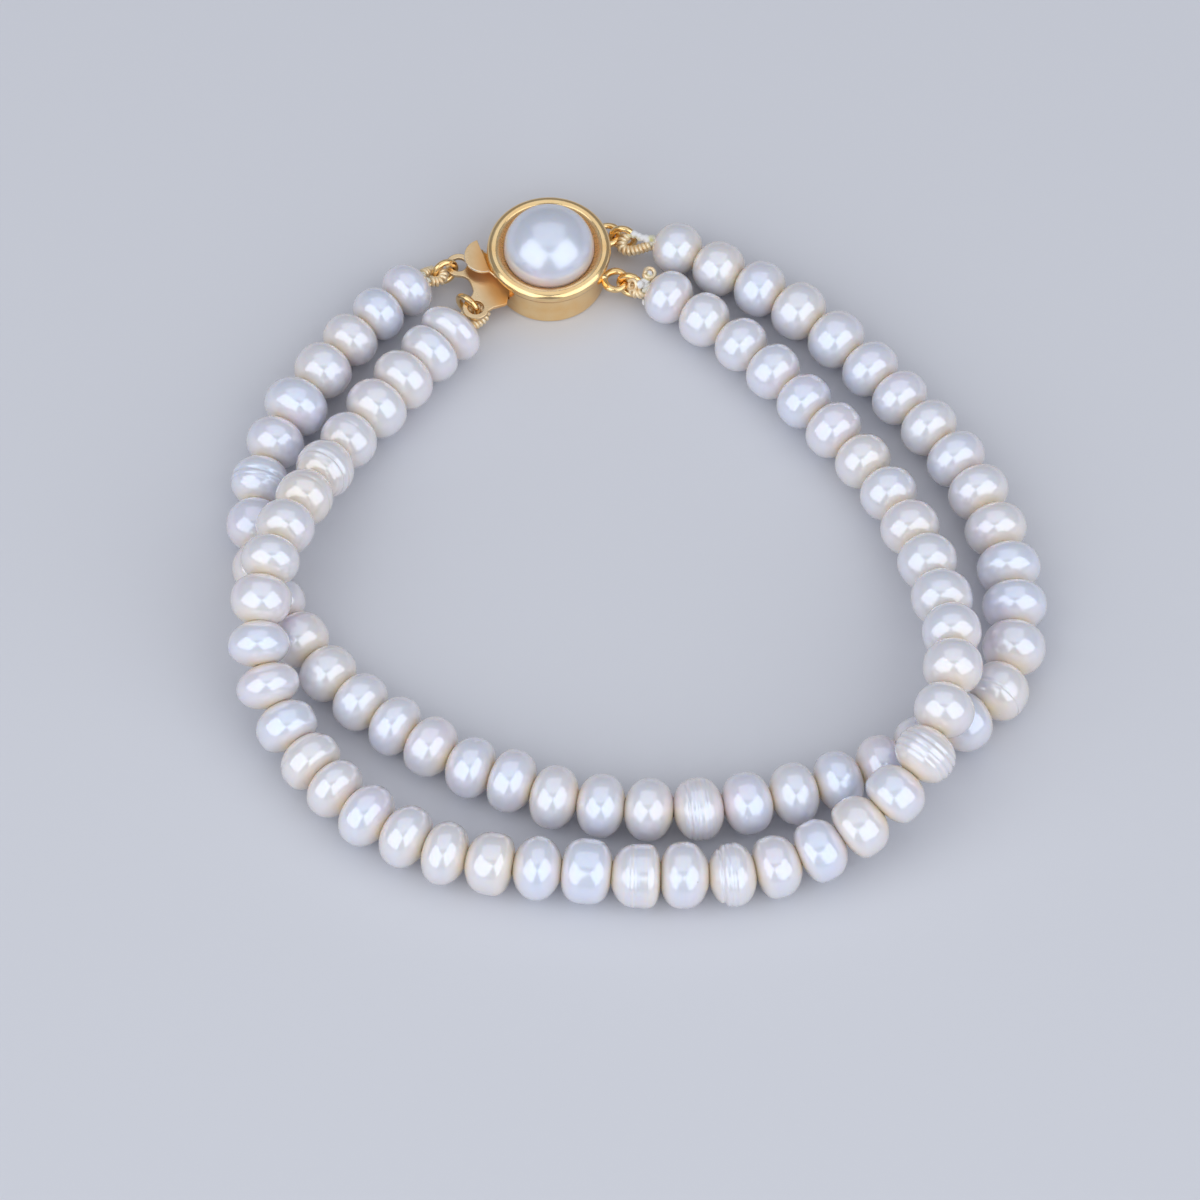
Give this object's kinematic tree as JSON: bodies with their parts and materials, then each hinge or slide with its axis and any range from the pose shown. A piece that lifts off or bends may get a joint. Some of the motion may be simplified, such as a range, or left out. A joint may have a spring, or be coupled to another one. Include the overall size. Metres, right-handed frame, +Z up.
{
  "type": "pearl bracelet",
  "caption": "Double strand bracelet of knotted button pearls on a round gilt box clasp set with a half pearl, laid flat as a closed loop.",
  "frame": {"origin": "middle of the footprint, on the surface the bracelet lies on", "axes": "+Z up from the surface, +Y towards the clasp, +X to the right seen from above with the clasp away from the viewer"},
  "size_m": [0.0726, 0.0728, 0.0107],
  "materials": {
    "pearl": "pearl lustre, creamy white with a cool sheen",
    "half_pearl": "smooth pearl lustre, cool white",
    "gold": "polished gold plating",
    "bullion": "fine coiled pale gilt wire",
    "thread": "twisted silk, off-white"
  },
  "bodies": {
    "bracelet": {"pearls_over": "pearl", "pearls_under": "pearl", "clasp_box": "gold", "half_pearl": "half_pearl", "clasp_tongue": "gold", "jump_ring_left_away": "gold", "bullion_left_away": "bullion", "jump_ring_left_near": "gold", "bullion_left_near": "bullion", "jump_ring_right_away": "gold", "bullion_right_away": "bullion", "jump_ring_right_near": "gold", "bullion_right_near": "bullion"},
    "thumb_tab": {"tongue_leaf": "gold"}
  },
  "joints": [
    {"name": "tab_press", "type": "hinge", "parent": "bracelet", "child": "thumb_tab", "pos_m": [-0.00467, 0.03178, 0.0028], "axis": [0.3206, -0.9472, 0], "range_deg": [0, 3], "stiffness_Nm_per_rad": 0.3}
  ]
}
